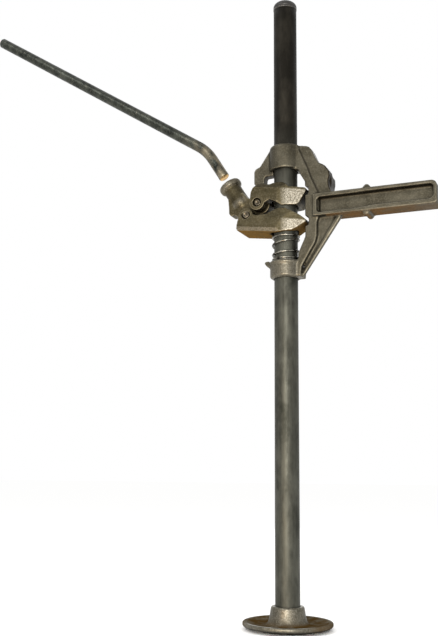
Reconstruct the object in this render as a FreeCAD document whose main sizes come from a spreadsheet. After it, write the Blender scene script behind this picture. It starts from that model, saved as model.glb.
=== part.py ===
import FreeCAD, Part
import math
import os
import Sketcher

# Round-post climbing car jack.  Millimetres, +Z up along the post.
# Origin: centre of the foot's underside.  +X runs along the lifting arm.
# The clamps, the lever and the handle bar are drawn level or upright about a
# point of their own and are then turned into place by their Placement.

doc = FreeCAD.newDocument("car_jack")
dims = doc.addObject("Spreadsheet::Sheet", "dims")

SIZES = [
    # post and foot
    ("post_radius", 13.45), ("post_bore_radius", 10.45), ("post_height", 706.0),
    ("plug_height", 14.0), ("cap_radius", 13.8), ("cap_skirt", 4.0),
    ("cap_dome_rise", 8.0), ("cap_spigot", 16.0), ("cap_nub_radius", 3.4), ("cap_nub_rise", 1.6),
    ("foot_fillet", 5.0),
    # carriage casting
    ("guide_bore_radius", 13.75), ("frame_thickness", 20.0), ("upper_web_thickness", 15.0),
    ("upper_lug_depth", 16.5), ("gusset_back", 2.0), ("gusset_thickness", 4.0), ("gusset_rim_thickness", 5.4),
    ("arm_width", 27.0), ("arm_web_thickness", 12.0),
    ("stop_rib_width", 24.0), ("release_rib_thickness", 12.0), ("spring_hook_thickness", 17.0),
    # clamps
    ("clamp_width", 41.0), ("clamp_tilt", 7.0), ("lower_clamp_height", 446.0),
    ("upper_clamp_height", 474.0), ("clamp_bore_radius", 14.2), ("clamp_bore_stretch", 3.4),
    ("ear_gap", 17.6), ("lower_ear_radius", 8.4), ("upper_ear_radius", 9.0),
    # pivot pins
    ("lower_pin_x", -43.3), ("lower_pin_z", 4.0), ("lower_pin_radius", 3.8),
    ("upper_pin_x", -27.3), ("upper_pin_z", -9.4), ("upper_pin_radius", 3.4),
    ("pin_recess_radius", 5.1), ("pin_recess_face", 17.1), ("pin_near_end", 18.3),
    ("pin_far_end", 19.4), ("pin_ring_radius", 5.0), ("pin_ring_height", 1.4),
    ("pin_running_clearance", 0.08),
    # lever
    ("lever_thickness", 16.4), ("lever_lean", 32.4), ("lever_mouth", 51.7),
    ("lever_bore_radius", 6.65), ("lever_bore_depth", 28.0), ("lever_boss_radius", 8.6),
    ("lever_far_boss_radius", 11.3),
    ("lever_slot_radius", 5.6), ("lever_slot_travel", 6.4),
    # handle bar
    ("bar_radius", 6.35), ("bar_gap", 12.0), ("bar_short_leg", 43.0), ("bar_long_leg", 367.0),
    ("bar_bend_radius", 60.0), ("bar_bend_angle", 25.0), ("bar_end_chamfer", 1.0),
    # return spring
    ("spring_seat", 399.4), ("washer_thickness", 1.2), ("washer_radius", 16.4),
    ("washer_bore_radius", 13.8), ("spring_radius", 14.95), ("wire_radius", 1.15),
    ("spring_turns", 3.6), ("spring_pitch", 7.0),
]

# Outline of the foot, radius and height: hub, hollow underside, ground ring,
# rolled rim, dished top and the boss that holds the post.
FOOT_PROFILE = [(13.45, 0), (17, 0), (17.6, 2.4), (29.6, 2.4), (30.4, 0), (34.7, 0), (35.6, 3.0),
                (46.6, 3.0), (48.4, 4.6), (48.4, 7.2), (47.2, 8.4), (45.4, 8.4), (41, 6.9),
                (34, 5.7), (25, 5.2), (21.4, 6.4), (19.4, 14), (18.0, 22.6), (17.0, 24.1),
                (13.45, 24.1)]
FOOT_ROOT_RADIUS = 21.4

# Side outlines of the carriage casting, distance along the arm and height.
UPPER_COLLAR = [(0, 506.8), (17.6, 506.8), (18.4, 507.6), (18.4, 532.8), (17.4, 535.0),
                (14.6, 536.6), (0, 536.6)]
LOWER_COLLAR = [(0, 379.6), (15.4, 379.6), (18.2, 381.8), (18.2, 395.4), (19.3, 396.6),
                (19.5, 398.2), (18.3, 399.4), (0, 399.4)]
FRAME_BAND = [(4, 536.0), (17.0, 534.6), (19.0, 527.5), (28.3, 506.0), (33.0, 492.7), (40.0, 477.0),
              (42.5, 470.0), (42.5, 448.0), (39.6, 441.0), (39.2, 425.0), (37.4, 418.0), (30.9, 407.4),
              (21.2, 391.1), (20.4, 380.4), (4, 380.4), (4, 398.9), (17.2, 398.9), (17.2, 406.5),
              (19.6, 411.5), (25.8, 425.2), (25.8, 489.3), (20.9, 497.6), (17.9, 504.5), (4, 507.2)]
UPPER_WEB = [(15, 534.2), (26.6, 532.4), (30.3, 530.8), (32.8, 527.5), (37.4, 517.4), (40.9, 510.6),
             (45.0, 508.9), (48.8, 506.3), (53.6, 499.4), (54.2, 494.6), (52.6, 489.0), (53.2, 482.0),
             (56.0, 474.0), (56.0, 470.0), (38, 470.0), (20, 520)]
UPPER_LUG = [(36, 513), (40.9, 508.6), (48.8, 502.3), (54.4, 494.6), (54.6, 488), (53.4, 482.0),
             (56.0, 474.0), (56.0, 470.0), (38, 470.0)]
GUSSET = [(19, 380.4), (21.4, 379.8), (22.8, 380.6), (66.4, 443.8), (68.4, 450.0), (38, 450.0), (36, 420)]
GUSSET_RIM = [(20.4, 380.6), (21.4, 379.8), (22.8, 380.6), (66.4, 443.8), (67.8, 448.8), (63.4, 448.8)]
ARM_OUTLINE = [(36, 447.2), (171.4, 447.2), (173.4, 449.4), (173.4, 467.4), (172.2, 471.0),
               (168.6, 473.0), (36, 473.0)]
ARM_RECESS = [(40.6, 453.0), (42.8, 450.6), (84, 450.8), (104, 452.6), (166, 452.6), (169.4, 455.6),
              (169.4, 466.6), (166.6, 469.0), (43.4, 468.0), (40.6, 465.6)]
ARM_TOP_RIB = [(92.4, 472), (93.2, 474.8), (95.6, 477.0), (98.6, 477.0), (100.8, 474.8), (101.6, 472)]
ARM_LOWER_RIB = [(91.8, 448), (92.6, 445.0), (94.8, 442.8), (97.6, 442.8), (99.8, 445.0), (100.6, 448)]
RELEASE_RIB = [(-8, 532.0), (-18.2, 531.6), (-29.8, 514.6), (-34.6, 512.8), (-37.0, 509.6),
               (-37.0, 493.8), (-24.6, 493.8), (-23.6, 501.8), (-8, 502.6)]
SPRING_HOOK = [(-8, 395.0), (-16.0, 391.6), (-19.6, 393.8), (-22.6, 396.8), (-23.4, 398.6), (-22.0, 400.2),
               (-18.6, 400.9), (-17.0, 399.4), (-8, 399.4)]
UPPER_NOTCH = [(20, 473.8), (28.6, 473.8), (29.8, 475.4), (29.8, 482.0), (28.4, 483.4), (20, 483.4)]
LOWER_NOTCH = [(20, 437.6), (28.4, 437.6), (30.0, 439.4), (30.0, 446.6), (28.4, 448.6), (20, 448.6)]

# Side outlines of the clamps, drawn level about the post's centre line.
LOWER_CLAMP = [(-51.3, -15.1), (-3.7, -15.1), (13.6, -11.4), (19.2, -7.6), (27.6, -0.6), (27.6, 1.6),
               (24.1, 4.0), (18.6, 7.3), (9.8, 10.8), (2.6, 13.8), (-4.0, 14.0), (-8.0, 12.6),
               (-13.2, 9.2), (-18.0, 5.8), (-30.6, 3.8), (-35.0, 5.0), (-43.3, 4.0), (-51.7, 4.0),
               (-52.4, -12.8)]
UPPER_CLAMP = [(-30.0, 13.4), (-15.4, 12.4), (-12.0, 14.3), (-7.2, 15.6), (-0.1, 15.8), (2.6, 14.6),
               (7.4, 10.6), (25.4, 10.8), (26.8, 9.6), (26.8, 6.6), (21.6, -6.2), (18.8, -9.4),
               (2.2, -11.4), (-5.7, -7.6), (-12.4, -5.6), (-16.6, -8.4), (-18.3, -9.4),
               (-36.3, -9.4), (-36.3, 2.2), (-34.4, 7.4)]
# Plan of the sides cut away so that each clamp narrows to its nose.
NOSE_TAPER = [(-4, 20.5), (30, 11.0), (30, 26), (-4, 26)]
LOWER_EAR_GAP = [(-60, -8.2), (-34.6, -8.2), (-31.4, -3.0), (-31.4, 20), (-60, 20)]
UPPER_EAR_GAP = [(-40, 3.4), (-17.6, 3.4), (-15.4, 0.4), (-15.4, -24), (-40, -24)]

# Draft of the forged sides, half width and height, from the parting line to the top or the underside.
LOWER_TOP_DRAFT = [(20.5, -8.0), (19.3, 1.0), (15.4, 14.4), (26, 14.4), (26, -8.0)]
LOWER_BASE_DRAFT = [(20.5, -10.5), (18.9, -16.0), (26, -16.0), (26, -10.5)]
UPPER_TOP_DRAFT = [(20.5, 8.0), (15.6, 16.2), (26, 16.2), (26, 8.0)]

# Lever: socket turned about its own centre line, flat body about the lower pin.
SOCKET_PROFILE = [(0, 12.4), (6.0, 12.8), (9.2, 16.0), (10.9, 22.0), (10.5, 32.0), (10.6, 43.2),
                  (13.3, 46.2), (13.7, 49.4), (13.0, 51.7), (0, 51.7)]
LEVER_BODY = [(-9.4, 34.0), (-13.6, 25.6), (-17.6, 18.6), (-17.3, 14.9), (-13.0, 13.5), (-8.4, 1.8),
              (-5.0, -7.0), (2.0, -8.35), (18.9, -5.5), (18.9, 11.6), (11.0, 19.7), (9.6, 30.0)]
LEVER_SLOT_CENTRE = (18.9, 3.1)

for row, (alias, value) in enumerate(SIZES, start=1):
    cell = "B%d" % row
    dims.set("A%d" % row, alias)
    dims.set(cell, str(value))
    dims.setAlias(cell, alias)
doc.recompute()
size = dict(SIZES)


# ---------------------------------------------------------------- helpers
def make_body(label):
    body = doc.addObject("PartDesign::Body", label)
    body.Label = label
    return body


def sketch_on(body, name, role, offset=None):
    """A sketch attached to one of the body's own origin planes."""
    sketch = body.newObject("Sketcher::SketchObject", name)
    planes = [item for item in body.Origin.OriginFeatures if item.Role == role]
    sketch.AttachmentSupport = (planes[0], [""])
    sketch.MapMode = "FlatFace"
    if offset:
        sketch.setExpression(".AttachmentOffset.Base.z", offset)
    return sketch


def add_outline(sketch, points):
    """A closed run of straight edges through the points, joined end to end."""
    first = sketch.GeometryCount
    count = len(points)
    for index in range(count):
        start = FreeCAD.Vector(points[index][0], points[index][1], 0)
        end_point = points[(index + 1) % count]
        end = FreeCAD.Vector(end_point[0], end_point[1], 0)
        sketch.addGeometry(Part.LineSegment(start, end), False)
    for index in range(count):
        following = first + (index + 1) % count
        sketch.addConstraint(Sketcher.Constraint("Coincident", first + index, 2, following, 1))
        sketch.addConstraint(Sketcher.Constraint("Block", first + index))


def add_circle(sketch, radius, centre_x=None, centre_y=None):
    """A circle whose radius and centre are bound to the sheet."""
    normal = FreeCAD.Vector(0, 0, 1)
    middle = FreeCAD.Vector(size.get(centre_x, 0), size.get(centre_y, 0), 0)
    circle = sketch.addGeometry(Part.Circle(middle, normal, size[radius]), False)
    index = sketch.addConstraint(Sketcher.Constraint("Radius", circle, size[radius]))
    sketch.setExpression("Constraints[%d]" % index, "dims." + radius)
    if centre_x is None:
        sketch.addConstraint(Sketcher.Constraint("Coincident", circle, 3, -1, 1))
        return
    for kind, alias in (("DistanceX", centre_x), ("DistanceY", centre_y)):
        index = sketch.addConstraint(Sketcher.Constraint(kind, -1, 1, circle, 3, size[alias]))
        sketch.setExpression("Constraints[%d]" % index, "dims." + alias)


def turn(body, name, points):
    """A solid of revolution about the body's own Z axis."""
    sketch = sketch_on(body, name + "_profile", "XZ_Plane")
    add_outline(sketch, points)
    feature = body.newObject("PartDesign::Revolution", name)
    feature.Profile = sketch
    feature.ReferenceAxis = (sketch, ["V_Axis"])
    feature.Angle = 360.0
    doc.recompute()
    return feature


def pad_side(body, name, outlines, thickness):
    """Outlines in the XZ plane thickened equally to both sides."""
    sketch = sketch_on(body, name + "_outline", "XZ_Plane")
    for points in outlines:
        add_outline(sketch, points)
    return pad_sketch(body, name, sketch, thickness, True)


def pad_sketch(body, name, sketch, thickness, both_sides):
    feature = body.newObject("PartDesign::Pad", name)
    feature.Profile = sketch
    if both_sides:
        feature.SideType = "Symmetric"
    feature.setExpression("Length", thickness)
    doc.recompute()
    return feature


def cut_through(body, name, sketch):
    """A cut right through the body, to both sides of its sketch."""
    before = body.Shape.Volume
    feature = body.newObject("PartDesign::Pocket", name)
    feature.Profile = sketch
    feature.Type = "ThroughAll"
    feature.SideType = "Symmetric"
    doc.recompute()
    if body.Shape.Volume >= before:
        raise RuntimeError(name + " cut nothing")
    return feature


def cut_side(body, name, points, thickness):
    """A slot of the given thickness, centred on the XZ plane."""
    before = body.Shape.Volume
    sketch = sketch_on(body, name + "_outline", "XZ_Plane")
    add_outline(sketch, points)
    feature = body.newObject("PartDesign::Pocket", name)
    feature.Profile = sketch
    feature.Type = "Length"
    feature.SideType = "Symmetric"
    feature.setExpression("Length", thickness)
    doc.recompute()
    if body.Shape.Volume >= before:
        raise RuntimeError(name + " cut nothing")
    return feature


def cut_outwards(body, name, sketch, along_normal):
    """A cut from the sketch out to one side only."""
    before = body.Shape.Volume
    feature = body.newObject("PartDesign::Pocket", name)
    feature.Profile = sketch
    feature.Type = "ThroughAll"
    feature.Reversed = along_normal
    doc.recompute()
    if body.Shape.Volume >= before:
        raise RuntimeError(name + " cut nothing")


def round_edges(body, name, radius, wanted):
    """Fillet the edges of the body that the test picks out."""
    tip = body.Tip
    names = ["Edge%d" % number for number, edge in enumerate(tip.Shape.Edges, start=1) if wanted(edge)]
    feature = body.newObject("PartDesign::Fillet", name)
    feature.Base = (tip, names)
    feature.setExpression("Radius", radius)
    doc.recompute()
    return feature


def lean(body, angle, height):
    """Turn a body about the Y axis and lift it up the post."""
    body.setExpression(".Placement.Rotation.Axis.x", "0")
    body.setExpression(".Placement.Rotation.Axis.y", "1")
    body.setExpression(".Placement.Rotation.Axis.z", "0")
    body.setExpression(".Placement.Rotation.Angle", angle)
    body.setExpression(".Placement.Base.z", height)


def pivot_pin(label, radius, centre_x, centre_z):
    """A plain pin through both ears, sunk at its near end and staked at its far end."""
    body = make_body(label)
    section = sketch_on(body, "pin_section", "XZ_Plane", "-dims.pin_far_end")
    add_circle(section, radius, centre_x, centre_z)
    pad_sketch(body, "pin", section, "dims.pin_far_end + dims.pin_near_end", False)
    return body


def pin_ring(label, radius, centre_x, centre_z):
    """The ring that keeps a pivot pin in place, in the far ear's recess."""
    body = make_body(label)
    inner_face = "-dims.pin_recess_face - dims.pin_ring_height"
    section = sketch_on(body, "ring_section", "XZ_Plane", inner_face)
    add_circle(section, "pin_ring_radius", centre_x, centre_z)
    add_circle(section, radius, centre_x, centre_z)
    pad_sketch(body, "ring", section, "dims.pin_ring_height", False)
    return body


# ------------------------------------------------------------ post and foot
def make_foot():
    body = make_body("base_plate")
    turn(body, "casting", FOOT_PROFILE)

    def is_boss_root(edge):
        middle = edge.valueAt((edge.FirstParameter + edge.LastParameter) / 2)
        reach = math.hypot(middle.x, middle.y)
        return abs(reach - FOOT_ROOT_RADIUS) < 0.01 and edge.Length > 100

    round_edges(body, "boss_root_fillet", "dims.foot_fillet", is_boss_root)
    return body


def make_post():
    body = make_body("post_tube")
    section = sketch_on(body, "tube_section", "XY_Plane")
    add_circle(section, "post_radius")
    add_circle(section, "post_bore_radius")
    pad_sketch(body, "tube", section, "dims.post_height", False)
    return body


def make_plug():
    body = make_body("post_plug")
    section = sketch_on(body, "plug_section", "XY_Plane")
    add_circle(section, "post_bore_radius")
    pad_sketch(body, "plug", section, "dims.plug_height", False)
    return body


def make_cap():
    body = make_body("top_cap")
    top = size["post_height"]
    skirt = top + size["cap_skirt"]
    crown = skirt + size["cap_dome_rise"]
    nub = crown + size["cap_nub_rise"]
    rim = size["cap_radius"]
    inner = size["post_bore_radius"]
    small = size["cap_nub_radius"]
    profile = [(0, top - size["cap_spigot"]), (inner, top - size["cap_spigot"]), (inner, top),
               (rim, top), (rim, skirt)]
    steps = 6
    for step in range(1, steps):
        angle = math.radians(90.0 * step / steps)
        profile.append((rim * math.cos(angle), skirt + size["cap_dome_rise"] * math.sin(angle)))
    edge = math.sqrt(1 - (small / rim) ** 2)
    profile += [(small, skirt + size["cap_dome_rise"] * edge), (small, nub), (0, nub)]
    turn(body, "cap", profile)
    return body


# ------------------------------------------------------------ carriage
def make_frame():
    body = make_body("carriage_frame")
    turn(body, "upper_collar", UPPER_COLLAR)
    turn(body, "lower_collar", LOWER_COLLAR)
    pad_side(body, "band", [FRAME_BAND], "dims.frame_thickness")
    pad_side(body, "upper_web", [UPPER_WEB], "dims.upper_web_thickness")
    lug = sketch_on(body, "upper_lug_outline", "XZ_Plane")
    add_outline(lug, UPPER_LUG)
    lug_pad = pad_sketch(body, "upper_lug", lug, "dims.upper_lug_depth", False)
    lug_pad.Reversed = True
    for name, outline in (("gusset", GUSSET), ("gusset_rim", GUSSET_RIM)):
        plate = sketch_on(body, name + "_outline", "XZ_Plane", "dims.gusset_back")
        add_outline(plate, outline)
        pad_sketch(body, name, plate, "dims.%s_thickness" % name, False)
    pad_side(body, "arm_web", [ARM_OUTLINE], "dims.arm_web_thickness")
    pad_side(body, "arm_flanges", [ARM_OUTLINE, ARM_RECESS], "dims.arm_width")
    pad_side(body, "arm_top_rib", [ARM_TOP_RIB], "dims.stop_rib_width")
    pad_side(body, "arm_lower_rib", [ARM_LOWER_RIB], "dims.stop_rib_width")
    pad_side(body, "release_rib", [RELEASE_RIB], "dims.release_rib_thickness")
    pad_side(body, "spring_hook", [SPRING_HOOK], "dims.spring_hook_thickness")
    cut_side(body, "upper_notch", UPPER_NOTCH, "dims.clamp_width")
    cut_side(body, "lower_notch", LOWER_NOTCH, "dims.clamp_width")
    bore = sketch_on(body, "guide_bore", "XY_Plane", "dims.lower_clamp_height")
    add_circle(bore, "guide_bore_radius")
    cut_through(body, "guide", bore)
    return body


def make_spring():
    """A round-wire spring of even pitch, standing on the lower collar."""
    wire = size["wire_radius"]
    reach = size["spring_radius"]
    rise = size["spring_pitch"] * size["spring_turns"]
    path = Part.makeHelix(size["spring_pitch"], rise, reach)
    section = Part.Wire([Part.Circle(FreeCAD.Vector(reach, 0, 0), FreeCAD.Vector(0, 1, 0), wire).toShape()])
    coil = Part.Wire(path.Edges).makePipeShell([section], True, True)
    feature = doc.addObject("Part::Feature", "return_spring")
    feature.Label = "return_spring"
    feature.Shape = coil
    feature.Placement = FreeCAD.Placement(
        FreeCAD.Vector(0, 0, size["spring_seat"] + size["washer_thickness"] + wire), FreeCAD.Rotation())
    return feature


# ------------------------------------------------------------ clamps
def make_clamp(side, outline, drafts, ear_gap):
    """A drop-forged clamp with drafted sides, a narrowed nose, a long bore and a forked ear."""
    body = make_body(side + "_clamp")
    pad_side(body, "forging", [outline], "dims.clamp_width")
    pin_x = side + "_pin_x"
    pin_z = side + "_pin_z"
    ear = sketch_on(body, "ear_section", "XZ_Plane")
    add_circle(ear, side + "_ear_radius", pin_x, pin_z)
    pad_sketch(body, "ear", ear, "dims.clamp_width", True)
    for number, slope in enumerate(drafts, start=1):
        draft = sketch_on(body, "draft_%d_outline" % number, "YZ_Plane")
        add_outline(draft, slope)
        add_outline(draft, [(-across, high) for across, high in slope])
        cut_through(body, "draft_%d" % number, draft)
    taper = sketch_on(body, "nose_taper", "XY_Plane")
    add_outline(taper, NOSE_TAPER)
    add_outline(taper, [(along, -across) for along, across in NOSE_TAPER])
    cut_through(body, "nose", taper)
    bore = sketch_on(body, "bore_section", "XY_Plane")
    reach = size["clamp_bore_radius"]
    shift = size["clamp_bore_stretch"] / 2
    up = FreeCAD.Vector(0, 0, 1)
    for hand in (1, -1):
        start = math.radians(-90 if hand > 0 else 90)
        circle = Part.Circle(FreeCAD.Vector(hand * shift, 0, 0), up, reach)
        bore.addGeometry(Part.ArcOfCircle(circle, start, start + math.pi), False)
    for hand in (1, -1):
        left = FreeCAD.Vector(-shift, hand * reach, 0)
        right = FreeCAD.Vector(shift, hand * reach, 0)
        bore.addGeometry(Part.LineSegment(left, right), False)
    cut_through(body, "bore", bore)
    cut_side(body, "ear_gap", ear_gap, "dims.ear_gap")
    hole = sketch_on(body, "pin_hole_section", "XZ_Plane")
    add_circle(hole, side + "_pin_radius", pin_x, pin_z)
    cut_through(body, "pin_hole", hole)
    for face in ("near", "far"):
        sunk = sketch_on(body, face + "_recess_section", "XZ_Plane",
                         "dims.pin_recess_face" if face == "near" else "-dims.pin_recess_face")
        add_circle(sunk, "pin_recess_radius", pin_x, pin_z)
        cut_outwards(body, face + "_recess", sunk, face == "near")
    lean(body, "dims.clamp_tilt", "dims.%s_clamp_height" % side)
    return body


# ------------------------------------------------------------ lever and bar
def make_lever(place):
    body = make_body("lever")
    turn(body, "socket", SOCKET_PROFILE)
    pad_side(body, "flat_body", [LEVER_BODY], "dims.lever_thickness")
    for name, radius, centre in (("lower_boss", "lever_boss_radius", (0, 0)),
                                 ("upper_boss", "lever_far_boss_radius", LEVER_SLOT_CENTRE)):
        boss = sketch_on(body, name + "_section", "XZ_Plane")
        middle = FreeCAD.Vector(centre[0], centre[1], 0)
        boss.addGeometry(Part.Circle(middle, FreeCAD.Vector(0, 0, 1), size[radius]), False)
        pad_sketch(body, name, boss, "dims.lever_thickness", True)
    mouth = sketch_on(body, "socket_bore_section", "XY_Plane", "dims.lever_mouth")
    add_circle(mouth, "lever_bore_radius")
    before = body.Shape.Volume
    bore = body.newObject("PartDesign::Pocket", "socket_bore")
    bore.Profile = mouth
    bore.setExpression("Length", "dims.lever_bore_depth")
    doc.recompute()
    if body.Shape.Volume >= before:
        raise RuntimeError("socket_bore cut nothing")
    pivot = sketch_on(body, "pivot_hole_section", "XZ_Plane")
    middle = FreeCAD.Vector(0, 0, 0)
    reach = size["lower_pin_radius"] + size["pin_running_clearance"]
    pivot.addGeometry(Part.Circle(middle, FreeCAD.Vector(0, 0, 1), reach), False)
    cut_through(body, "pivot_hole", pivot)
    cut_through(body, "upper_slot", slot_sketch(body))
    body.Placement = place
    return body


def slot_sketch(body):
    """The long hole round the upper pin, pointing away from the lower pin."""
    sketch = sketch_on(body, "upper_slot_section", "XZ_Plane")
    along = FreeCAD.Vector(LEVER_SLOT_CENTRE[0], LEVER_SLOT_CENTRE[1], 0).normalize()
    across = FreeCAD.Vector(-along.y, along.x, 0)
    near = FreeCAD.Vector(LEVER_SLOT_CENTRE[0], LEVER_SLOT_CENTRE[1], 0)
    far = near + along * size["lever_slot_travel"]
    reach = size["lever_slot_radius"]
    facing = math.atan2(along.y, along.x)
    up = FreeCAD.Vector(0, 0, 1)
    outer = Part.Circle(far, up, reach)
    inner = Part.Circle(near, up, reach)
    sketch.addGeometry(Part.ArcOfCircle(outer, facing - math.pi / 2, facing + math.pi / 2), False)
    sketch.addGeometry(Part.ArcOfCircle(inner, facing + math.pi / 2, facing + 3 * math.pi / 2), False)
    for side in (1, -1):
        start = near + across * (side * reach)
        end = far + across * (side * reach)
        sketch.addGeometry(Part.LineSegment(start, end), False)
    return sketch


def make_bar(place):
    """Round bar with one bend; its short leg lies on the socket's centre line."""
    body = make_body("handle_bar")
    bend = math.radians(size["bar_bend_angle"])
    sweep = size["bar_bend_radius"]
    setback = sweep * math.tan(bend / 2)
    short = size["bar_short_leg"] - setback
    centre = FreeCAD.Vector(-sweep, short, 0)
    corner = FreeCAD.Vector(0, size["bar_short_leg"], 0)
    direction = FreeCAD.Vector(-math.sin(bend), math.cos(bend), 0)
    path = sketch_on(body, "bar_path", "XZ_Plane")
    path.addGeometry(Part.LineSegment(FreeCAD.Vector(0, 0, 0), FreeCAD.Vector(0, short, 0)), False)
    circle = Part.Circle(centre, FreeCAD.Vector(0, 0, 1), sweep)
    path.addGeometry(Part.ArcOfCircle(circle, 0, bend), False)
    start = corner + direction * setback
    end = corner + direction * size["bar_long_leg"]
    path.addGeometry(Part.LineSegment(start, end), False)
    section = sketch_on(body, "bar_section", "XY_Plane")
    add_circle(section, "bar_radius")
    pipe = body.newObject("PartDesign::AdditivePipe", "bar")
    pipe.Profile = section
    pipe.Spine = path
    doc.recompute()

    def is_end_rim(edge):
        full_circle = 2 * math.pi * size["bar_radius"]
        seam = len(edge.Vertexes) == 1
        return seam and abs(edge.Length - full_circle) < 0.01 and is_flat_end(body, edge)

    names = ["Edge%d" % number for number, edge in enumerate(body.Shape.Edges, start=1) if is_end_rim(edge)]
    chamfer = body.newObject("PartDesign::Chamfer", "end_chamfers")
    chamfer.Base = (pipe, names)
    chamfer.setExpression("Size", "dims.bar_end_chamfer")
    doc.recompute()
    body.Placement = place
    return body


def is_flat_end(body, edge):
    """True where the edge bounds one of the body's flat faces."""
    for face in body.Shape.Faces:
        if face.Surface.TypeId == "Part::GeomPlane":
            if any(edge.isSame(other) for other in face.Edges):
                return True
    return False


def pivot_place():
    """The lower pin's centre, with the lever's centre line leaning back from it."""
    tilt = FreeCAD.Rotation(FreeCAD.Vector(0, 1, 0), size["clamp_tilt"])
    local = FreeCAD.Vector(size["lower_pin_x"], 0, size["lower_pin_z"])
    pivot = tilt.multVec(local) + FreeCAD.Vector(0, 0, size["lower_clamp_height"])
    leaning = FreeCAD.Rotation(FreeCAD.Vector(0, 1, 0), -size["lever_lean"])
    return FreeCAD.Placement(pivot, leaning)


lever_place = pivot_place()
bar_rise = size["lever_mouth"] + size["bar_gap"]
bar_place = FreeCAD.Placement(lever_place.multVec(FreeCAD.Vector(0, 0, bar_rise)), lever_place.Rotation)

nodes = [make_foot(), make_post(), make_plug(), make_cap(), make_frame(), make_spring()]

washer = make_body("spring_washer")
washer_section = sketch_on(washer, "washer_section", "XY_Plane")
add_circle(washer_section, "washer_radius")
add_circle(washer_section, "washer_bore_radius")
pad_sketch(washer, "washer", washer_section, "dims.washer_thickness", False)
washer.setExpression(".Placement.Base.z", "dims.spring_seat")
nodes.append(washer)

nodes.append(make_clamp("lower", LOWER_CLAMP, (LOWER_TOP_DRAFT, LOWER_BASE_DRAFT), LOWER_EAR_GAP))
nodes.append(make_clamp("upper", UPPER_CLAMP, (UPPER_TOP_DRAFT,), UPPER_EAR_GAP))
for side in ("lower", "upper"):
    radius, along, high = side + "_pin_radius", side + "_pin_x", side + "_pin_z"
    pin = pivot_pin(side + "_pin", radius, along, high)
    ring = pin_ring(side + "_pin_ring", radius, along, high)
    for piece in (pin, ring):
        lean(piece, "dims.clamp_tilt", "dims.%s_clamp_height" % side)
        nodes.append(piece)
nodes.append(make_lever(lever_place))
nodes.append(make_bar(bar_place))
doc.recompute()

# ------------------------------------------------------------ check and write
for item in doc.Objects:
    if "Invalid" in item.State or "Error" in item.State:
        raise RuntimeError("%s failed: %s" % (item.Label, item.State))
os.makedirs("parts", exist_ok=True)
for node in nodes:
    shape = node.Shape
    if shape.isNull() or not shape.isValid() or len(shape.Solids) != 1:
        raise RuntimeError("%s is not one valid solid" % node.Label)
    box = shape.BoundBox
    print("%-16s %9.0f mm3  x %7.1f %7.1f  y %6.1f %6.1f  z %6.1f %6.1f" % (
        node.Label, shape.Volume, box.XMin, box.XMax, box.YMin, box.YMax, box.ZMin, box.ZMax))
    shape.exportStep("parts/%s.step" % node.Label)
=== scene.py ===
import math

import bmesh
import bpy
from mathutils import Matrix, Vector


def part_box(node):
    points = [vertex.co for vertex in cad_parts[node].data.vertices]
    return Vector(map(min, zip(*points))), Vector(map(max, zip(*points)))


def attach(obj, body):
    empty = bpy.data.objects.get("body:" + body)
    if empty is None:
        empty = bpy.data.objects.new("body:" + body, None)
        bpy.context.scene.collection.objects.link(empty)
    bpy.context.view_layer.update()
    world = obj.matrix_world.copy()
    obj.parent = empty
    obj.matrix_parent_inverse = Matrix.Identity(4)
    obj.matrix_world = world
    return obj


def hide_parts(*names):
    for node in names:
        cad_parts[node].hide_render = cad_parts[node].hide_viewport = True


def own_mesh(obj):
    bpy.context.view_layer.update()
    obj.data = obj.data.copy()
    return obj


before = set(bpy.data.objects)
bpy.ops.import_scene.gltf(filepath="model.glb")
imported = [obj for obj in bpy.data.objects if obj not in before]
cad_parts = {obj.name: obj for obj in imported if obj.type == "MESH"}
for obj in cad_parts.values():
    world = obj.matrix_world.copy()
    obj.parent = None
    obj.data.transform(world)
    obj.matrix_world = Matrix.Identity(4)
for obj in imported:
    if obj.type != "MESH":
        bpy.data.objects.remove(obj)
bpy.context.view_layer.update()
scene = bpy.context.scene

# Camera, in the object's frame: where it stands and how it is turned.
CAMERA_PLACE = (0.3290, -0.9554, 0.1630)
CAMERA_HEADING = math.radians(23.30)
CAMERA_PITCH = math.radians(9.68)
CAMERA_ROLL = math.radians(0.46)
SENSOR_HEIGHT = 24.0
CAMERA_LENS = 34.33
FLOOR_REACH = 14.0

# Sizes of the pieces made here, in metres.
POST_RADIUS = 0.01345
POST_HEIGHT = 0.706
SPRING_RADIUS = 0.01495
WIRE_RADIUS = 0.00115
SPRING_FOOT = 0.4006
BAR_RADIUS = 0.00635
LOWER_CLAMP_HEIGHT = 0.446
UPPER_CLAMP_HEIGHT = 0.474
CLAMP_TILT = math.radians(7.0)
LEVER_LEAN = math.radians(32.4)
LEVER_PIVOT = Vector((-0.04249, 0, 0.455247))
LEVER_UP = Vector((-math.sin(LEVER_LEAN), 0, math.cos(LEVER_LEAN)))
LEVER_MOUTH = 0.0517
BAR_GAP = 0.012
BAR_BEND = math.radians(25.0)
BAR_BEND_RADIUS = 0.060
BAR_SHORT_LEG = 0.043
BAR_LONG_LEG = 0.367
LONG_LEG_RINGS = 40
POST_BORE_RADIUS = 0.01045
WASHER_BORE_RADIUS = 0.0138
CAP_SKIRT = 0.004
CAP_NUB_RADIUS = 0.0034
CAP_NUB_HEIGHT = 0.0016

# Where a casting's painted highlight, painted shade and brown areas start and end, in metres.
COLLAR_REACH = 0.0205
LOWER_COLLAR_TOP = 0.4005
ARM_UNDERSIDE = 0.4505
RECESS_CEILING = 0.461
LUG_FOOT = 0.477


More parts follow.
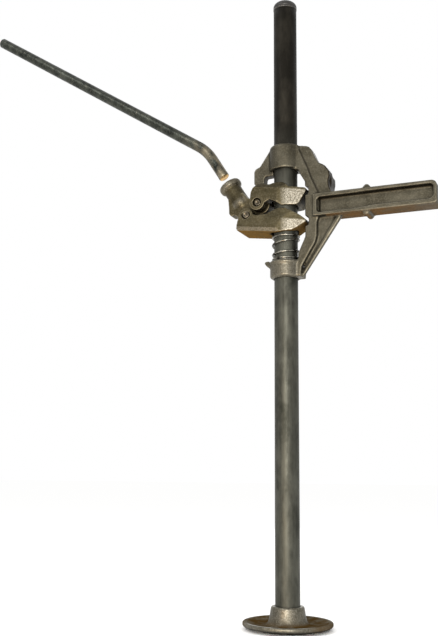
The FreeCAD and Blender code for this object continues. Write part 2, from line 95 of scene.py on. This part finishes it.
# ------------------------------------------------------------ camera, light and floor
def make_camera():
    data = bpy.data.cameras.new("camera")
    data.sensor_fit = "VERTICAL"
    data.sensor_height = SENSOR_HEIGHT
    data.lens = CAMERA_LENS
    camera = bpy.data.objects.new("camera", data)
    scene.collection.objects.link(camera)
    turn = Matrix.Rotation(CAMERA_HEADING, 4, "Z")
    tilt = Matrix.Rotation(math.pi / 2 + CAMERA_PITCH, 4, "X")
    roll = Matrix.Rotation(CAMERA_ROLL, 4, "Z")
    camera.matrix_world = Matrix.Translation(CAMERA_PLACE) @ turn @ tilt @ roll
    scene.camera = camera


def soft_light(name, place, aim, width, height, power, tint=(1, 1, 1)):
    data = bpy.data.lights.new(name, "AREA")
    data.shape = "RECTANGLE"
    data.size = width
    data.size_y = height
    data.energy = power
    data.color = tint
    light = bpy.data.objects.new(name, data)
    scene.collection.objects.link(light)
    look = Vector(aim) - Vector(place)
    light.matrix_world = Matrix.Translation(place) @ look.to_track_quat("-Z", "Y").to_matrix().to_4x4()


def make_surroundings():
    """White surroundings, four soft lights and a near-white floor."""
    world = bpy.data.worlds.new("world")
    world.use_nodes = True
    background = world.node_tree.nodes["Background"]
    background.inputs["Color"].default_value = (1, 1, 1, 1)
    background.inputs["Strength"].default_value = 1.0
    scene.world = world
    scene.view_settings.view_transform = "Standard"
    soft_light("front", (0.34, -1.25, 0.30), (0, 0, 0.36), 0.30, 0.30, 13.0, (1.0, 0.99, 0.965))
    soft_light("over", (-0.7, -1.2, 1.5), (0, 0, 0.42), 0.6, 0.6, 6.0)
    soft_light("behind", (-0.5, 1.5, 0.9), (0, 0, 0.35), 0.8, 0.8, 6.0)
    soft_light("low_warm", (0.0, -0.9, 0.06), (0, 0, 0.45), 0.5, 0.2, 3.0, (1.0, 0.66, 0.34))
    mesh = bpy.data.meshes.new("floor")
    build = bmesh.new()
    bmesh.ops.create_grid(build, x_segments=4, y_segments=4, size=FLOOR_REACH)
    build.to_mesh(mesh)
    build.free()
    floor = bpy.data.objects.new("floor", mesh)
    scene.collection.objects.link(floor)
    paint = bpy.data.materials.new("floor")
    paint.use_nodes = True
    shader = paint.node_tree.nodes["Principled BSDF"]
    shader.inputs["Base Color"].default_value = (0.992, 0.990, 0.985, 1)
    shader.inputs["Roughness"].default_value = 1.0
    shader.inputs["Specular IOR Level"].default_value = 0.0
    floor.data.materials.append(paint)


# ------------------------------------------------------------ materials
class Paint:
    """A small helper that lays out one material's nodes."""

    def __init__(self, name):
        self.material = bpy.data.materials.new(name)
        self.material.use_nodes = True
        self.tree = self.material.node_tree
        self.shader = self.tree.nodes["Principled BSDF"]
        self.place = self.tree.nodes.new("ShaderNodeTexCoord").outputs["Object"]

    def link(self, source, target):
        self.tree.links.new(source, target)

    def noise(self, scale, detail=4.0, stretch=(1, 1, 1), rough=0.55):
        mapping = self.tree.nodes.new("ShaderNodeMapping")
        mapping.inputs["Scale"].default_value = stretch
        self.link(self.place, mapping.inputs["Vector"])
        node = self.tree.nodes.new("ShaderNodeTexNoise")
        node.inputs["Scale"].default_value = scale
        node.inputs["Detail"].default_value = detail
        node.inputs["Roughness"].default_value = rough
        self.link(mapping.outputs["Vector"], node.inputs["Vector"])
        return node.outputs["Fac"]

    def remap(self, value, low, high, out_low=0.0, out_high=1.0):
        node = self.tree.nodes.new("ShaderNodeMapRange")
        for name, number in (("From Min", low), ("From Max", high), ("To Min", out_low), ("To Max", out_high)):
            node.inputs[name].default_value = number
        self.link(value, node.inputs["Value"])
        return node.outputs["Result"]

    def mix(self, factor, first, second):
        node = self.tree.nodes.new("ShaderNodeMix")
        node.data_type = "RGBA"
        self.link(factor, node.inputs[0])
        for socket, colour in ((node.inputs[6], first), (node.inputs[7], second)):
            if isinstance(colour, tuple):
                socket.default_value = (*colour, 1)
            else:
                self.link(colour, socket)
        return node.outputs[2]

    def times(self, first, second, operation="MULTIPLY"):
        """The product of two values, or their clamped sum with ADD."""
        node = self.tree.nodes.new("ShaderNodeMath")
        node.operation = operation
        node.use_clamp = operation == "ADD"
        for socket, value in zip(node.inputs, (first, second)):
            if isinstance(value, (int, float)):
                socket.default_value = value
            else:
                self.link(value, socket)
        return node.outputs[0]

    def attribute(self, name):
        node = self.tree.nodes.new("ShaderNodeAttribute")
        node.attribute_name = name
        return node.outputs["Fac"]

    def edges(self, low, high):
        """Sharp outer edges when high is above low, inner corners when it is below."""
        geometry = self.tree.nodes.new("ShaderNodeNewGeometry")
        return self.remap(geometry.outputs["Pointiness"], low, high)

    def hollows(self, reach, open_sky, closed):
        """How shut in a place is by the surfaces within reach of it."""
        node = self.tree.nodes.new("ShaderNodeAmbientOcclusion")
        node.samples = 6
        node.inputs["Distance"].default_value = reach
        return self.remap(node.outputs["AO"], open_sky, closed)

    def height(self, low, high):
        """How far up the object a place is, between two heights in metres."""
        split = self.tree.nodes.new("ShaderNodeSeparateXYZ")
        self.link(self.place, split.inputs[0])
        return self.remap(split.outputs["Z"], low, high)

    def bump(self, layers):
        last = None
        for value, depth in layers:
            node = self.tree.nodes.new("ShaderNodeBump")
            node.inputs["Strength"].default_value = 1.0
            node.inputs["Distance"].default_value = depth
            self.link(value, node.inputs["Height"])
            if last is not None:
                self.link(last, node.inputs["Normal"])
            last = node.outputs["Normal"]
        self.link(last, self.shader.inputs["Normal"])

    def finish(self, colour, roughness, metallic):
        self.link(colour, self.shader.inputs["Base Color"])
        self.link(roughness, self.shader.inputs["Roughness"])
        if isinstance(metallic, float):
            self.shader.inputs["Metallic"].default_value = metallic
        else:
            self.link(metallic, self.shader.inputs["Metallic"])
        return self.material


def casting_paint(name, dark, mid, light, brown_tint, edge_wear_and_highlight, grain_scale=620.0, grain_depth=0.00016, swell=0.0003):
    """Rough ferrous casting: mottled, brighter on its edges from wear and painted highlight, with painted shade
    in its corners and hollows, browner beneath, and painted highlight and painted shade where marked.
    """
    paint = Paint(name)
    blotch = paint.remap(paint.noise(55.0, 5.0), 0.34, 0.68)
    colour = paint.mix(blotch, dark, mid)
    speck = paint.remap(paint.noise(grain_scale, 3.0), 0.46, 0.74)
    colour = paint.mix(paint.times(speck, 0.5), colour, light)
    patch = paint.remap(paint.noise(70.0, 4.0), 0.36, 0.60, 0.45, 1.0)
    # Brown and not metallic where marked: down-facing faces, the foot's dish, and painted shade on the foot
    # rim's flanks.
    colour = paint.mix(paint.times(paint.attribute("brown_mask"), patch), colour, brown_tint)
    # Brighter edges: partly worn metal, partly painted highlight where the light catches the edges.
    rub = paint.remap(paint.noise(160.0, 4.0), 0.3, 0.62, 0.35, 1.0)
    bright_edges = paint.times(paint.edges(0.508, 0.570), rub)
    bright_edges = paint.times(bright_edges, paint.remap(paint.attribute("brown_mask"), 0.0, 1.0, 1.0, 0.3))
    colour = paint.mix(paint.times(bright_edges, edge_wear_and_highlight), colour, tuple(2.4 * part for part in light))
    # Painted shade: darker in inner corners and in hollows, where shade falls.
    painted_shade = tuple(0.22 * part for part in dark)
    colour = paint.mix(paint.times(paint.edges(0.492, 0.44), 0.9), colour, painted_shade)
    colour = paint.mix(paint.times(paint.hollows(0.010, 0.80, 0.35), 0.75), colour, painted_shade)
    # Painted highlight: a pale, sparkling colour wherever the bright attribute marks a lit face.
    sparkle = paint.remap(paint.noise(900.0, 2.0), 0.38, 0.66)
    painted_highlight = paint.mix(sparkle, (0.100, 0.088, 0.064), (0.330, 0.305, 0.250))
    colour = paint.mix(paint.attribute("bright"), colour, painted_highlight)
    # Painted shade: near black where a casting's shaded faces are marked.
    colour = paint.mix(paint.attribute("darkened"), colour, (0.016, 0.012, 0.007))
    roughness = paint.remap(paint.noise(130.0, 3.0), 0.3, 0.7, 0.36, 0.54)
    roughness = paint.times(roughness, paint.times(paint.attribute("brown_mask"), 0.35), "ADD")
    metallic = paint.remap(paint.attribute("brown_mask"), 0.0, 1.0, 0.9, 0.0)
    paint.shader.inputs["Specular IOR Level"].default_value = 0.0
    paint.bump([(paint.noise(85.0, 3.0), swell), (paint.noise(grain_scale, 3.0), grain_depth)])
    return paint.finish(colour, roughness, metallic)


def post_paint():
    """Drawn tube: streaked along its length, mottled with scale, darker above the carriage."""
    paint = Paint("post_steel")
    streak = paint.remap(paint.noise(230.0, 4.0, (1, 1, 0.05)), 0.32, 0.68)
    mottle = paint.remap(paint.noise(75.0, 6.0, (1, 1, 0.5), 0.65), 0.35, 0.66)
    colour = paint.mix(streak, (0.023, 0.023, 0.018), (0.062, 0.062, 0.050))
    colour = paint.mix(paint.times(mottle, 0.6), colour, (0.108, 0.108, 0.088))
    stain = paint.remap(paint.noise(38.0, 5.0, (1, 1, 0.6)), 0.54, 0.66)
    colour = paint.mix(paint.times(stain, 0.75), colour, (0.018, 0.019, 0.014))
    # Darker above the carriage, towards the top of the tube.
    darkened = paint.height(0.46, 0.56)
    fleck = paint.remap(paint.noise(60.0, 5.0, (1, 1, 0.35)), 0.45, 0.75)
    upper_tone = paint.mix(fleck, (0.009, 0.0078, 0.0055), (0.032, 0.028, 0.021))
    colour = paint.mix(darkened, colour, upper_tone)
    roughness = paint.remap(paint.noise(95.0, 4.0, (1, 1, 0.25)), 0.3, 0.7, 0.44, 0.62)
    paint.bump([(paint.noise(60.0, 4.0, (1, 1, 0.3)), 0.0004), (paint.noise(900.0, 2.0, (1, 1, 0.1)), 0.00004)])
    return paint.finish(colour, roughness, 0.9)


def bar_paint():
    """Dark mill-scaled bar, rubbed bright towards the end that goes into the socket, with painted highlight
    streaks along it there.
    """
    paint = Paint("bar_steel")
    scale = paint.remap(paint.noise(85.0, 6.0, rough=0.65), 0.36, 0.64)
    colour = paint.mix(scale, (0.012, 0.014, 0.011), (0.058, 0.062, 0.050))
    fleck = paint.remap(paint.noise(420.0, 3.0), 0.58, 0.72)
    colour = paint.mix(paint.times(fleck, 0.5), colour, (0.14, 0.13, 0.10))
    # Rubbed metal near the socket end, streaked along the bar as painted highlight.
    streak = paint.remap(paint.noise(260.0, 4.0, (0.35, 1, 0.25)), 0.36, 0.66)
    rub_and_highlight = paint.times(paint.attribute("bright"), streak)
    colour = paint.mix(rub_and_highlight, colour, (0.20, 0.17, 0.115))
    cut = paint.attribute("cut_end")
    colour = paint.mix(cut, colour, (0.62, 0.40, 0.16))
    roughness = paint.remap(paint.noise(150.0, 3.0), 0.3, 0.7, 0.28, 0.46)
    paint.bump([(paint.noise(120.0, 4.0), 0.0005), (paint.noise(900.0, 2.0), 0.00005)])
    return paint.finish(colour, roughness, 0.8)


def wire_paint():
    """Bright spring wire with oily dark patches."""
    paint = Paint("spring_wire")
    patch = paint.remap(paint.noise(140.0, 4.0), 0.38, 0.62)
    colour = paint.mix(patch, (0.035, 0.030, 0.022), (0.28, 0.27, 0.23))
    roughness = paint.remap(paint.noise(260.0, 3.0), 0.3, 0.7, 0.20, 0.36)
    paint.bump([(paint.noise(500.0, 3.0), 0.0001)])
    return paint.finish(colour, roughness, 0.95)


def pin_paint():
    """Turned pin: bright face, browned towards its rim."""
    paint = Paint("pin_steel")
    patch = paint.remap(paint.noise(260.0, 4.0), 0.36, 0.64)
    colour = paint.mix(patch, (0.034, 0.027, 0.016), (0.125, 0.106, 0.074))
    bright_edges = paint.edges(0.52, 0.60)
    colour = paint.mix(paint.times(bright_edges, 0.4), colour, (0.36, 0.32, 0.25))
    roughness = paint.remap(paint.noise(320.0, 3.0), 0.3, 0.7, 0.24, 0.42)
    paint.bump([(paint.noise(420.0, 3.0), 0.00018)])
    return paint.finish(colour, roughness, 0.9)


def cap_paint():
    """Black moulded cap, slightly scuffed."""
    paint = Paint("cap_black")
    cloud = paint.remap(paint.noise(90.0, 4.0), 0.35, 0.65)
    colour = paint.mix(cloud, (0.006, 0.005, 0.0045), (0.016, 0.014, 0.012))
    scuff = paint.times(paint.edges(0.515, 0.58), paint.remap(paint.noise(300.0, 4.0), 0.4, 0.65))
    colour = paint.mix(scuff, colour, (0.10, 0.09, 0.075))
    roughness = paint.remap(paint.noise(180.0, 3.0), 0.3, 0.7, 0.30, 0.46)
    paint.bump([(paint.noise(260.0, 3.0), 0.00025)])
    return paint.finish(colour, roughness, 0.15)


# ------------------------------------------------------------ pieces
def ramp(value, start, width):
    """0 up to start, then rising to 1 over the width given."""
    return min(1.0, max(0.0, (value - start) / width))


def fall(value, end, width):
    """1 well below end, falling to 0 at it over the width given."""
    return min(1.0, max(0.0, (end - value) / width))


def add_piece(name, mesh, body, nodes, paint):
    piece = bpy.data.objects.new(name, mesh)
    scene.collection.objects.link(piece)
    mesh.materials.clear()
    mesh.materials.append(paint)
    for polygon in mesh.polygons:
        polygon.use_smooth = True
    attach(piece, body)
    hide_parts(*nodes)
    return piece


def set_attribute(mesh, name, weigh):
    """One number per vertex, from the vertex's place and direction."""
    layer = mesh.attributes.new(name, "FLOAT", "POINT")
    for vertex in mesh.vertices:
        layer.data[vertex.index].value = weigh(vertex.co, vertex.normal)


def rounded_mesh(node, grain, passes):
    """The node's shape as an even net of quads, with its corners softened as in a casting."""
    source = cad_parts[node]
    trial = bpy.data.objects.new("trial", source.data.copy())
    scene.collection.objects.link(trial)
    net = trial.modifiers.new("net", "REMESH")
    net.mode = "VOXEL"
    net.voxel_size = grain
    soften = trial.modifiers.new("soften", "SMOOTH")
    soften.factor = 0.5
    soften.iterations = passes
    bpy.context.view_layer.update()
    made = trial.evaluated_get(bpy.context.evaluated_depsgraph_get())
    mesh = bpy.data.meshes.new_from_object(made)
    bpy.data.objects.remove(trial)
    return mesh


def lathe_mesh(name, profile, segments):
    """A closed surface of revolution about Z; a radius of zero closes an end."""
    build = bmesh.new()
    rings = []
    for radius, height in profile:
        if radius == 0:
            rings.append([build.verts.new((0, 0, height))])
            continue
        ring = []
        for step in range(segments):
            angle = 2 * math.pi * step / segments
            ring.append(build.verts.new((radius * math.cos(angle), radius * math.sin(angle), height)))
        rings.append(ring)
    for low, high in zip(rings, rings[1:]):
        for step in range(segments):
            after = (step + 1) % segments
            if len(low) == 1:
                build.faces.new((low[0], high[after], high[step]))
            elif len(high) == 1:
                build.faces.new((low[step], low[after], high[0]))
            else:
                build.faces.new((low[step], low[after], high[after], high[step]))
    bmesh.ops.recalc_face_normals(build, faces=build.faces)
    mesh = bpy.data.meshes.new(name)
    build.to_mesh(mesh)
    build.free()
    return mesh


def swept_mesh(name, line, radii, segments):
    """A round tube along a plane line of points in XZ, closed at both ends."""
    build = bmesh.new()
    side = Vector((0, 1, 0))
    rings = []
    for index, (point, radius) in enumerate(zip(line, radii)):
        before = line[max(0, index - 1)]
        after = line[min(len(line) - 1, index + 1)]
        along = (after - before).normalized()
        across = along.cross(side).normalized()
        ring = []
        for step in range(segments):
            angle = 2 * math.pi * step / segments
            offset = (across * math.cos(angle) + side * math.sin(angle)) * radius
            ring.append(build.verts.new(point + offset))
        rings.append(ring)
    for low, high in zip(rings, rings[1:]):
        for step in range(segments):
            after = (step + 1) % segments
            build.faces.new((low[step], low[after], high[after], high[step]))
    build.faces.new(rings[0])
    build.faces.new(rings[-1])
    bmesh.ops.recalc_face_normals(build, faces=build.faces)
    mesh = bpy.data.meshes.new(name)
    build.to_mesh(mesh)
    build.free()
    return mesh


def make_castings(iron, foot_iron, forged):
    """The cast and forged pieces, with the painted highlight, brown and painted shade areas marked on each."""
    def beneath(place, normal):
        return fall(normal.z, -0.6, 0.25)

    def beneath_arm(place, normal):
        """Only the arm's outermost underside is browned, and less so towards its tip."""
        if place.x < 0.05 or place.z > ARM_UNDERSIDE:
            return 0.0
        return beneath(place, normal) * (1.0 - 0.55 * ramp(place.x, 0.120, 0.04))

    def arm_painted_shade(place, normal):
        """Painted shade under the arm's upper flange and on the lug's end face."""
        if place.x < 0.042:
            return 0.0
        if place.z > LUG_FOOT:
            return 0.9 * ramp(normal.x, 0.10, 0.3)
        if place.z > RECESS_CEILING:
            return 0.6 * fall(normal.z, -0.15, 0.3)
        return 0.0

    def dish(place, normal):
        """Brown lies in the dish; the rim's flanks and back get it too as painted shade, and the rim's front,
        where the light falls, is left bare.
        """
        reach = math.hypot(place.x, place.y)
        inside = ramp(reach, 0.019, 0.004) * fall(reach, 0.0455, 0.002)
        # Painted shade on the rim's flanks and back; the front stays bare.
        flank = ramp(place.y, -0.036, 0.012) * ramp(reach, 0.0435, 0.001)
        return max(inside * ramp(normal.z, 0.0, 0.5), 0.8 * flank)

    def boss_bright(place, normal):
        """Painted highlight on the front of the boss, on faces turned to the light."""
        near_post = fall(math.hypot(place.x, place.y), COLLAR_REACH, 0.001)
        return 0.45 * near_post * ramp(0.22 * normal.x - 0.97 * normal.y, 0.72, 0.25)

    def plain(place, normal):
        return 0.0

    def carriage_bright(place, normal):
        """Painted highlight on the lower collar and along the upper edge of the arm's lower lip."""
        if place.x > 0.045:
            lip = fall(place.z, 0.4550, 0.001) * ramp(place.z, 0.4490, 0.001)
            return 0.5 * lip * ramp(normal.z, 0.15, 0.3)
        low = fall(place.z, LOWER_COLLAR_TOP, 0.001)
        return 0.35 * low * fall(math.hypot(place.x, place.y), COLLAR_REACH, 0.001)

    def lever_bright(place, normal):
        """Painted highlight on the socket's rolled rim and on the swelling at its root."""
        along = (place - LEVER_PIVOT).dot(LEVER_UP)
        away = (place - LEVER_PIVOT - LEVER_UP * along).length
        rim = ramp(along, 0.043, 0.003)
        root = max(0.0, 1.0 - abs(along - 0.0225) / 0.005) * fall(away, 0.0125, 0.001)
        return 0.45 * max(rim, root)

    def rise(place, height):
        """Height above a clamp's middle, square to its own tilt."""
        return (place.z - height + place.x * math.sin(CLAMP_TILT)) / math.cos(CLAMP_TILT)

    def sideways(normal):
        return ramp(abs(normal.y), 0.80, 0.1)

    def painted_highlight(place, normal, height, parting):
        """Painted highlight on the flank of a clamp's nose below its parting line, where the light falls."""
        return ramp(place.x, -0.001, 0.008) * sideways(normal) * fall(rise(place, height), parting, 0.0012)

    def lower_bright(place, normal):
        # Painted highlight: a light streak on the clamp's down-tilted front chamfer.
        ledge = fall(normal.z, -0.10, 0.1) * sideways(normal)
        return max(painted_highlight(place, normal, LOWER_CLAMP_HEIGHT, 0.0016), 0.4 * ledge)

    def upper_bright(place, normal):
        return painted_highlight(place, normal, UPPER_CLAMP_HEIGHT, 0.0088)

    rows = [("carriage_casting", "carriage_frame", "carriage", "cast_frame", iron, 0.00095, 4,
             carriage_bright, beneath_arm, arm_painted_shade),
            ("foot_casting", "base_plate", "post", "cast", foot_iron, 0.0008, 3, boss_bright, dish, plain),
            ("lower_clamp_forging", "lower_clamp", "lower_clamp_body", "clamp", forged, 0.0006, 3, lower_bright,
             beneath, plain),
            ("upper_clamp_forging", "upper_clamp", "upper_clamp_body", "clamp", forged, 0.0006, 4, upper_bright,
             plain, plain),
            ("lever_forging", "lever", "lever_body", "lever", forged, 0.0006, 4, lever_bright, plain, plain)]
    for name, node, body, slot, paint, grain, passes, bright, brown_mask, darkened in rows:
        mesh = rounded_mesh(node, grain, passes)
        set_attribute(mesh, "bright", bright)
        set_attribute(mesh, "brown_mask", brown_mask)
        set_attribute(mesh, "darkened", darkened)
        add_piece(name, mesh, body, [node], paint)


def make_pins(paint):
    """Each pivot pin and the ring that keeps it, turned about the pin's own line."""
    quarter = Matrix.Rotation(math.pi / 2, 4, "X")
    for side in ("lower", "upper"):
        low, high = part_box(side + "_pin")
        radius = (high[0] - low[0]) / 2
        middle = Matrix.Translation(((low[0] + high[0]) / 2, 0, (low[2] + high[2]) / 2))
        far, near = -high[1], -low[1]
        bead = 0.0006
        profile = [(0, far), (radius * 0.5, far), (radius - bead, far), (radius, far + bead)]
        profile += [(radius, far + (near - far) * step / 8) for step in range(1, 8)]
        profile += [(radius, near - bead), (radius - bead * 0.3, near - bead * 0.3), (radius - bead, near),
                    (radius * 0.62, near), (radius * 0.5, near - bead), (0, near - bead)]
        mesh = lathe_mesh(side + "_pin_turned", profile, 64)
        mesh.transform(middle @ quarter)
        add_piece(side + "_pin_turned", mesh, side + "_clamp_body", [side + "_pin"], paint)
        low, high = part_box(side + "_pin_ring")
        outer = (high[0] - low[0]) / 2
        inner = radius + 0.00005
        thick = (high[1] - low[1]) / 2
        centre = -(low[1] + high[1]) / 2
        round_off = thick * 0.7
        profile = [(inner, centre - thick * 0.6), (inner + round_off * 0.3, centre - thick),
                   (outer - round_off, centre - thick), (outer - round_off * 0.3, centre - thick * 0.7),
                   (outer, centre), (outer - round_off * 0.3, centre + thick * 0.7),
                   (outer - round_off, centre + thick), (inner + round_off * 0.3, centre + thick),
                   (inner, centre + thick * 0.6), (inner, centre - thick * 0.6)]
        mesh = lathe_mesh(side + "_ring_turned", profile, 64)
        mesh.transform(middle @ quarter)
        add_piece(side + "_ring_turned", mesh, side + "_clamp_body", [side + "_pin_ring"], paint)


def make_cap(paint):
    """Pressed-in cap: a spigot, a short skirt with a rolled edge, a dome and its moulding nub."""
    low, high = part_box("top_cap")
    rim = (high[0] - low[0]) / 2
    spigot = POST_BORE_RADIUS
    skirt = POST_HEIGHT
    shoulder = skirt + CAP_SKIRT
    nub = CAP_NUB_RADIUS
    dome = high[2] - CAP_NUB_HEIGHT - shoulder
    profile = [(0, low[2]), (spigot - 0.0005, low[2]), (spigot, low[2] + 0.0005), (spigot, skirt),
               (rim - 0.0004, skirt), (rim, skirt + 0.0005), (rim, skirt + 0.0018),
               (rim - 0.0003, skirt + 0.0022), (rim - 0.0003, skirt + 0.0026), (rim, skirt + 0.0030),
               (rim, shoulder)]
    steps = 14
    for step in range(1, steps):
        angle = math.radians(86.0 * step / steps)
        if rim * math.cos(angle) > nub + 0.0008:
            profile.append((rim * math.cos(angle), shoulder + dome * math.sin(angle)))
    top = high[2]
    base = shoulder + dome * 0.985
    profile += [(nub + 0.0004, base), (nub, base + 0.0003), (nub, top - 0.0006), (nub - 0.0006, top), (0, top)]
    add_piece("cap_moulding", lathe_mesh("cap_moulding", profile, 80), "post", ["top_cap"], paint)


def make_washer(paint):
    """Flat seat between the spring and the lower collar, its edges broken."""
    low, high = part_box("spring_washer")
    outer, inner = (high[0] - low[0]) / 2, WASHER_BORE_RADIUS
    bottom, top = low[2], high[2]
    edge = 0.0003
    profile = [(inner, bottom + edge), (inner + edge, bottom), (outer - edge, bottom), (outer, bottom + edge),
               (outer, top - edge), (outer - edge, top), (inner + edge, top), (inner, top - edge),
               (inner, bottom + edge)]
    add_piece("washer_pressed", lathe_mesh("washer_pressed", profile, 96), "carriage", ["spring_washer"],
              paint)


def make_bar(paint):
    """Round bar with one bend, its corners broken and its lower end cut clean."""
    up = LEVER_UP
    side = Vector((up.z, 0, -up.x))
    start = LEVER_PIVOT + up * (LEVER_MOUTH + BAR_GAP)
    bend, sweep = BAR_BEND, BAR_BEND_RADIUS
    short = BAR_SHORT_LEG - sweep * math.tan(bend / 2)
    edge = 0.001
    line = [start, start + up * edge * 0.4, start + up * edge]
    line += [start + up * (edge + (short - edge) * step / 6) for step in range(1, 7)]
    centre = start + up * short - side * sweep
    turns = 16
    for step in range(1, turns + 1):
        angle = bend * step / turns
        line.append(centre + side * sweep * math.cos(angle) + up * sweep * math.sin(angle))
    away = up * math.cos(bend) - side * math.sin(bend)
    far = start + up * BAR_SHORT_LEG + away * BAR_LONG_LEG
    run = (far - line[-1]).length - edge
    bent = line[-1].copy()
    line += [bent + away * run * step / LONG_LEG_RINGS for step in range(1, LONG_LEG_RINGS + 1)]
    line += [far - away * edge * 0.4, far]
    radii = [BAR_RADIUS] * len(line)
    radii[0] = radii[-1] = BAR_RADIUS - edge
    radii[1] = radii[-2] = BAR_RADIUS - edge * 0.35
    mesh = swept_mesh("bar_bent", line, radii, 48)

    def rub_and_highlight(place, normal):
        return min(1.0, max(0.0, 1.0 - ((place - start).length - 0.03) / 0.05))

    def cut(place, normal):
        return 1.0 if (place - start).dot(up) < edge * 0.3 else 0.0

    set_attribute(mesh, "bright", rub_and_highlight)
    set_attribute(mesh, "cut_end", cut)
    add_piece("bar_bent", mesh, "handle", ["handle_bar"], paint)


def make_post(paint):
    """Open tube with both ends chamfered."""
    radius, bore, top = POST_RADIUS, POST_BORE_RADIUS, POST_HEIGHT
    edge = 0.0006
    profile = [(bore, 0.0), (radius - edge, 0.0), (radius, edge)]
    steps = 60
    for step in range(1, steps):
        profile.append((radius, edge + (top - 2 * edge) * step / steps))
    profile += [(radius, top - edge), (radius - edge, top), (bore, top), (bore, 0.0)]
    mesh = lathe_mesh("post_skin", profile, 96)
    add_piece("post_skin", mesh, "post", ["post_tube"], paint)


def spring_line():
    """Height at each turn of the wire: closed at both ends and open in the middle."""
    knots = [(0.0, 0.0), (0.75, 0.0005), (1.0, 0.0014), (2.0, 0.0094), (3.0, 0.0230), (3.6, 0.0264),
             (4.1, 0.0272)]
    steps = 48
    points = []
    total = knots[-1][0]
    count = int(total * steps)
    for step in range(count + 1):
        turn = total * step / count
        for (start, low), (end, high) in zip(knots, knots[1:]):
            if start <= turn <= end:
                share = (turn - start) / (end - start)
                rise = low + (high - low) * share
        angle = 2 * math.pi * turn
        points.append(Vector((SPRING_RADIUS * math.cos(angle), SPRING_RADIUS * math.sin(angle),
                              SPRING_FOOT + WIRE_RADIUS + rise)))
    return points


def make_spring(paint):
    """The wire, swept along its line; the lower clamp presses it."""
    points = spring_line()
    curve = bpy.data.curves.new("spring_wire", "CURVE")
    curve.dimensions = "3D"
    curve.bevel_depth = WIRE_RADIUS
    curve.bevel_resolution = 5
    curve.use_fill_caps = True
    spline = curve.splines.new("POLY")
    spline.points.add(len(points) - 1)
    for knot, point in zip(spline.points, points):
        knot.co = (*point, 1)
    trial = bpy.data.objects.new("trial", curve)
    scene.collection.objects.link(trial)
    bpy.context.view_layer.update()
    mesh = bpy.data.meshes.new_from_object(trial.evaluated_get(bpy.context.evaluated_depsgraph_get()))
    bpy.data.objects.remove(trial)
    piece = add_piece("spring_coil", mesh, "carriage", ["return_spring"], paint)
    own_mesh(piece)


def bevelled(node, width, paint):
    """A turned part kept as it is, with its corners broken."""
    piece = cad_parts[node]
    edge = piece.modifiers.new("edge", "BEVEL")
    edge.width = width
    edge.segments = 3
    edge.limit_method = "ANGLE"
    edge.angle_limit = math.radians(40)
    for slot in piece.material_slots:
        slot.material = paint
    if not piece.material_slots:
        piece.data.materials.append(paint)


make_camera()
make_surroundings()

iron = casting_paint("cast_iron", (0.046, 0.041, 0.028), (0.084, 0.076, 0.055), (0.135, 0.122, 0.092),
                     (0.098, 0.056, 0.024), edge_wear_and_highlight=0.4)
foot_iron = casting_paint("foot_iron", (0.062, 0.056, 0.041), (0.135, 0.126, 0.099), (0.300, 0.285, 0.235),
                          (0.052, 0.030, 0.009), edge_wear_and_highlight=0.15)
forged = casting_paint("forged_steel", (0.036, 0.030, 0.016), (0.070, 0.058, 0.032), (0.128, 0.111, 0.076),
                       (0.130, 0.074, 0.022), grain_scale=560.0, grain_depth=0.00018, swell=0.00018,
                       edge_wear_and_highlight=0.8)
pin_steel = pin_paint()
spring_wire = wire_paint()
make_castings(iron, foot_iron, forged)
make_post(post_paint())
make_spring(spring_wire)
make_washer(spring_wire)
make_pins(pin_steel)
make_cap(cap_paint())
make_bar(bar_paint())
bevelled("post_plug", 0.0004, iron)
